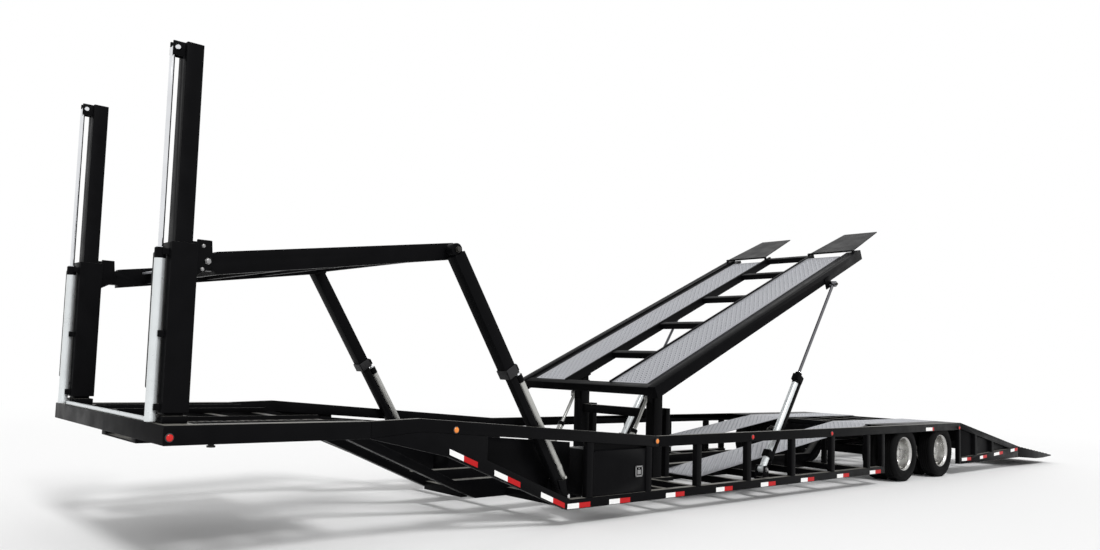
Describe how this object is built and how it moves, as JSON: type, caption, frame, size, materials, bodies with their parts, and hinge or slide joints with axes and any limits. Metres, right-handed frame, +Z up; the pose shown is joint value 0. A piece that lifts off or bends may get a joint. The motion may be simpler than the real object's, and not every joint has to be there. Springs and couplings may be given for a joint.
{
  "type": "car transporter semi-trailer",
  "caption": "Long low car transporter semi-trailer with a lifting front deck on masts, a tilting rear deck, twin wheels and folding rear ramps.",
  "frame": {"origin": "on the ground, under the middle of the trailer's length and width", "axes": "+X forward to the neck, +Y to the trailer's left side, +Z up"},
  "size_m": [16.15, 2.622, 3.578],
  "materials": {
    "black_paint": "semi-gloss",
    "silver_paint": "satin",
    "chrome": "polished",
    "bare_steel": "machined",
    "tread_plate": "raised tread",
    "polished_alloy": "polished",
    "tyre": "matt",
    "amber_lens": "glossy",
    "red_lens": "glossy"
  },
  "bodies": {
    "root": {"neck_frame": "black_paint", "main_beams": "black_paint", "kingpin": "bare_steel", "top_rails": "black_paint", "rising_rails": "black_paint", "low_rails": "black_paint", "slant_members": "black_paint", "posts": "black_paint", "side_panels": "black_paint", "air_tank": "black_paint", "tool_boxes": "black_paint", "cross_members": "black_paint", "pivot_feet": "black_paint", "landing_legs": "black_paint", "lower_tracks": "tread_plate", "tail_frame": "black_paint", "axle_beams": "black_paint", "springs": "black_paint", "masts": "black_paint", "lift_rods": "chrome", "stand_posts": "black_paint", "stand_cylinders": "silver_paint", "marker_lamps_amber": "amber_lens", "marker_lamps_red": "red_lens"},
    "upper_deck": {"upper_deck_frame": "black_paint", "upper_tracks": "tread_plate"},
    "tilt_deck": {"tilt_deck_frame": "black_paint", "tilt_tracks": "tread_plate"},
    "wheel_front_left": {"tyres_front_left": "tyre", "rims_front_left": "polished_alloy"},
    "wheel_front_right": {"tyres_front_right": "tyre", "rims_front_right": "polished_alloy"},
    "wheel_rear_left": {"tyres_rear_left": "tyre", "rims_rear_left": "polished_alloy"},
    "wheel_rear_right": {"tyres_rear_right": "tyre", "rims_rear_right": "polished_alloy"},
    "carriage_left": {"carriage_left": "black_paint", "lift_barrel_left": "silver_paint"},
    "arm_left": {"arm_tube_left": "black_paint", "arm_barrel_left": "silver_paint"},
    "arm_slide_left": {"arm_outer_left": "black_paint", "arm_rod_left": "chrome"},
    "carriage_right": {"carriage_right": "black_paint", "lift_barrel_right": "silver_paint"},
    "arm_right": {"arm_tube_right": "black_paint", "arm_barrel_right": "silver_paint"},
    "arm_slide_right": {"arm_outer_right": "black_paint", "arm_rod_right": "chrome"},
    "tilt_barrel_left": {"tilt_barrel_left": "silver_paint", "tilt_guide_left": "black_paint"},
    "tilt_rod_left": {"tilt_rod_left": "chrome"},
    "flap_left": {"flap_left": "black_paint"},
    "door_left": {"door_left": "black_paint"},
    "ramp_left": {"ramp_left": "black_paint"},
    "tilt_barrel_right": {"tilt_barrel_right": "silver_paint", "tilt_guide_right": "black_paint"},
    "tilt_rod_right": {"tilt_rod_right": "chrome"},
    "flap_right": {"flap_right": "black_paint"},
    "door_right": {"door_right": "black_paint"},
    "ramp_right": {"ramp_right": "black_paint"}
  },
  "joints": [
    {"name": "wheel_front_left_spin", "type": "hinge", "parent": "root", "child": "wheel_front_left", "pos_m": [-2.404, 1.03, 0.383], "axis": [0, 1, 0], "continuous": true},
    {"name": "wheel_front_right_spin", "type": "hinge", "parent": "root", "child": "wheel_front_right", "pos_m": [-2.404, -1.03, 0.383], "axis": [0, 1, 0], "continuous": true},
    {"name": "wheel_rear_left_spin", "type": "hinge", "parent": "root", "child": "wheel_rear_left", "pos_m": [-3.576, 1.03, 0.383], "axis": [0, 1, 0], "continuous": true},
    {"name": "wheel_rear_right_spin", "type": "hinge", "parent": "root", "child": "wheel_rear_right", "pos_m": [-3.576, -1.03, 0.383], "axis": [0, 1, 0], "continuous": true},
    {"name": "deck_lift", "type": "slide", "parent": "root", "child": "carriage_left", "axis": [0, 0, 1], "range_m": [0, 1.04]},
    {"name": "carriage_right_lift", "type": "slide", "parent": "root", "child": "carriage_right", "axis": [0, 0, 1], "range_m": [0, 1.04]},
    {"name": "upper_deck_level", "type": "hinge", "parent": "carriage_left", "child": "upper_deck", "pos_m": [7.735, 0, 2.09], "axis": [0, 1, 0], "range_deg": [-8.21, 0]},
    {"name": "arm_left_swing", "type": "hinge", "parent": "root", "child": "arm_left", "pos_m": [4.35, 1.184, 0.375], "axis": [0, -1, 0], "range_deg": [0, 7.95]},
    {"name": "arm_left_stretch", "type": "slide", "parent": "arm_left", "child": "arm_slide_left", "axis": [0.5421, 0, 0.8403], "range_m": [0, 0.64]},
    {"name": "arm_right_swing", "type": "hinge", "parent": "root", "child": "arm_right", "pos_m": [4.35, -1.184, 0.375], "axis": [0, -1, 0], "range_deg": [0, 7.95]},
    {"name": "arm_right_stretch", "type": "slide", "parent": "arm_right", "child": "arm_slide_right", "axis": [0.5421, 0, 0.8403], "range_m": [0, 0.64]},
    {"name": "tilt_deck_tilt", "type": "hinge", "parent": "root", "child": "tilt_deck", "pos_m": [2.2301, 0, 1.3504], "axis": [0, 1, 0], "range_deg": [-30.5, 0]},
    {"name": "tilt_barrel_left_swing", "type": "hinge", "parent": "root", "child": "tilt_barrel_left", "pos_m": [0.95, 1.122, 0.33], "axis": [0, 1, 0], "range_deg": [-35.59, 0]},
    {"name": "tilt_rod_left_stroke", "type": "slide", "parent": "tilt_barrel_left", "child": "tilt_rod_left", "axis": [-0.5735, 0, 0.8192], "range_m": [-0.837, 0]},
    {"name": "flap_left_flip", "type": "hinge", "parent": "tilt_deck", "child": "flap_left", "pos_m": [-1.4174, 0.68, 3.1569], "axis": [0, 1, 0], "range_deg": [0, 165]},
    {"name": "door_left_open", "type": "hinge", "parent": "root", "child": "door_left", "pos_m": [3.996, 1.289, 0.46], "axis": [0, 0, -1], "range_deg": [0, 110]},
    {"name": "ramp_left_fold", "type": "hinge", "parent": "root", "child": "ramp_left", "pos_m": [-6.496, 0.85, 0.336], "axis": [0, 1, 0], "range_deg": [-4.5, 90]},
    {"name": "tilt_barrel_right_swing", "type": "hinge", "parent": "root", "child": "tilt_barrel_right", "pos_m": [0.95, -1.122, 0.33], "axis": [0, 1, 0], "range_deg": [-35.59, 0]},
    {"name": "tilt_rod_right_stroke", "type": "slide", "parent": "tilt_barrel_right", "child": "tilt_rod_right", "axis": [-0.5735, 0, 0.8192], "range_m": [-0.837, 0]},
    {"name": "flap_right_flip", "type": "hinge", "parent": "tilt_deck", "child": "flap_right", "pos_m": [-1.4174, -0.68, 3.1569], "axis": [0, 1, 0], "range_deg": [0, 165]},
    {"name": "door_right_open", "type": "hinge", "parent": "root", "child": "door_right", "pos_m": [3.996, -1.289, 0.46], "axis": [0, 0, 1], "range_deg": [0, 110]},
    {"name": "ramp_right_fold", "type": "hinge", "parent": "root", "child": "ramp_right", "pos_m": [-6.496, -0.85, 0.336], "axis": [0, 1, 0], "range_deg": [-4.5, 90]}
  ],
  "couplings": [
    {"joint": "carriage_right_lift", "follows": "deck_lift", "ratio": 1},
    {"joint": "upper_deck_level", "follows": "deck_lift", "rad_per_m": -0.13741},
    {"joint": "arm_left_swing", "follows": "deck_lift", "rad_per_m": 0.13314},
    {"joint": "arm_left_stretch", "follows": "deck_lift", "ratio": 0.61466},
    {"joint": "arm_right_swing", "follows": "deck_lift", "rad_per_m": 0.13314},
    {"joint": "arm_right_stretch", "follows": "deck_lift", "ratio": 0.61466},
    {"joint": "tilt_barrel_left_swing", "follows": "tilt_deck_tilt", "ratio": 1.1664},
    {"joint": "tilt_rod_left_stroke", "follows": "tilt_deck_tilt", "m_per_rad": 1.5697},
    {"joint": "tilt_barrel_right_swing", "follows": "tilt_deck_tilt", "ratio": 1.1664},
    {"joint": "tilt_rod_right_stroke", "follows": "tilt_deck_tilt", "m_per_rad": 1.5697}
  ]
}
